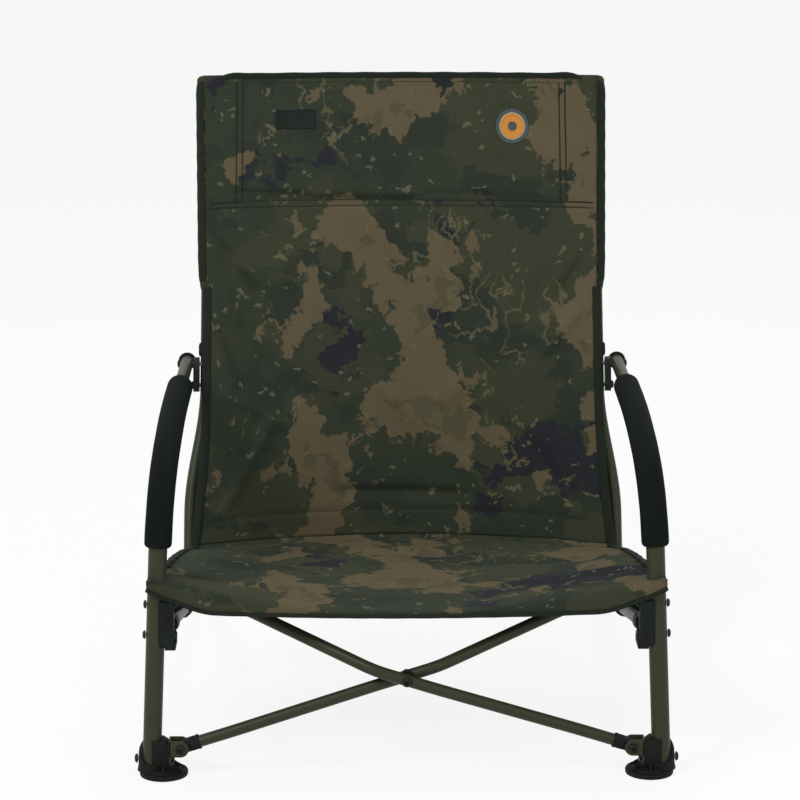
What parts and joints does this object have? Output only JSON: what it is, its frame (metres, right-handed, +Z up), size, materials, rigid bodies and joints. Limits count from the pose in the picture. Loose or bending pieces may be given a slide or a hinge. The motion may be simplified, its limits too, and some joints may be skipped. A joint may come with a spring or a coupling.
{
  "type": "folding fishing chair",
  "caption": "Low folding arm chair with bent-tube side frames, crossed tubes under a cloth seat, a leaning cloth back and foam arm grips.",
  "frame": {"origin": "on the ground, midway between the four feet, at the bottom centre of the chair's box", "axes": "+Z up, -Y towards the front of the seat, +X to the right when looking at the front"},
  "size_m": [0.5854, 0.702, 0.6907],
  "materials": {
    "olive_tube": "satin powder coat",
    "foam_grip": "matt closed-cell foam",
    "black_plastic": "moulded, fine grain",
    "grey_plastic": "moulded",
    "black_steel": "black zinc",
    "webbing": "woven tape",
    "camo_cloth": "printed woven polyester"
  },
  "bodies": {
    "root": {"front_leg_arm_left": "olive_tube", "arm_grip_left": "foam_grip", "arm_end_cap_left": "grey_plastic", "back_post_left": "olive_tube", "rear_leg_tube_left": "olive_tube", "front_foot_left": "black_plastic", "front_foot_bolt_left": "black_steel", "rear_foot_left": "black_plastic", "foot_clevis_left": "olive_tube", "foot_pin_left": "black_steel", "saddle_block_left": "black_plastic", "block_bolt_upper_left": "black_steel", "block_bolt_lower_left": "black_steel", "rear_saddle_left": "black_plastic", "post_socket_left": "black_plastic", "socket_bolt_left": "black_steel", "arm_bracket_left": "black_steel", "bracket_bolt_upper_left": "black_steel", "bracket_bolt_lower_left": "black_steel", "post_band_left": "webbing", "back_sling": "camo_cloth"},
    "right_frame": {"front_leg_arm_right": "olive_tube", "arm_grip_right": "foam_grip", "arm_end_cap_right": "grey_plastic", "back_post_right": "olive_tube", "rear_leg_tube_right": "olive_tube", "front_foot_right": "black_plastic", "front_foot_bolt_right": "black_steel", "rear_foot_right": "black_plastic", "foot_clevis_right": "olive_tube", "foot_pin_right": "black_steel", "saddle_block_right": "black_plastic", "block_bolt_upper_right": "black_steel", "block_bolt_lower_right": "black_steel", "rear_saddle_right": "black_plastic", "post_socket_right": "black_plastic", "socket_bolt_right": "black_steel", "arm_bracket_right": "black_steel", "bracket_bolt_upper_right": "black_steel", "bracket_bolt_lower_right": "black_steel", "post_band_right": "webbing"},
    "rear_cross_tube": {"cross_tube_rear": "olive_tube", "foot_tube_end_left": "black_plastic", "rail_tube_end_right": "black_plastic", "cross_rivet": "black_steel", "cross_spacer": "black_plastic"},
    "front_cross_tube": {"cross_tube_front": "olive_tube", "foot_tube_end_right": "black_plastic", "rail_tube_end_left": "black_plastic"},
    "rail_right": {"seat_rail_right": "olive_tube", "rail_lug_right": "olive_tube", "rail_pin_right": "black_steel"},
    "rail_left": {"seat_rail_left": "olive_tube", "rail_lug_left": "olive_tube", "rail_pin_left": "black_steel", "seat_sling": "camo_cloth"}
  },
  "joints": [
    {"name": "cross_fold", "type": "hinge", "parent": "root", "child": "rear_cross_tube", "pos_m": [-0.243, -0.325, 0.031], "axis": [0, -1, 0], "range_deg": [0, 57], "deforming": ["back_sling", "seat_sling"]},
    {"name": "cross_rivet_turn", "type": "hinge", "parent": "rear_cross_tube", "child": "front_cross_tube", "pos_m": [0, -0.325, 0.10751], "axis": [0, -1, 0], "range_deg": [-114, 0]},
    {"name": "right_foot_turn", "type": "hinge", "parent": "front_cross_tube", "child": "right_frame", "pos_m": [0.243, -0.325, 0.031], "axis": [0, -1, 0], "range_deg": [0, 57]},
    {"name": "right_rail_turn", "type": "hinge", "parent": "rear_cross_tube", "child": "rail_right", "pos_m": [0.2295, -0.25, 0.17978], "axis": [0, -1, 0], "range_deg": [-57, 0]},
    {"name": "left_rail_turn", "type": "hinge", "parent": "front_cross_tube", "child": "rail_left", "pos_m": [-0.2295, -0.25, 0.17978], "axis": [0, -1, 0], "range_deg": [0, 57]}
  ],
  "couplings": [
    {"joint": "cross_rivet_turn", "follows": "cross_fold", "ratio": -2},
    {"joint": "right_foot_turn", "follows": "cross_fold", "ratio": 1},
    {"joint": "right_rail_turn", "follows": "cross_fold", "ratio": -1},
    {"joint": "left_rail_turn", "follows": "cross_fold", "ratio": 1}
  ]
}
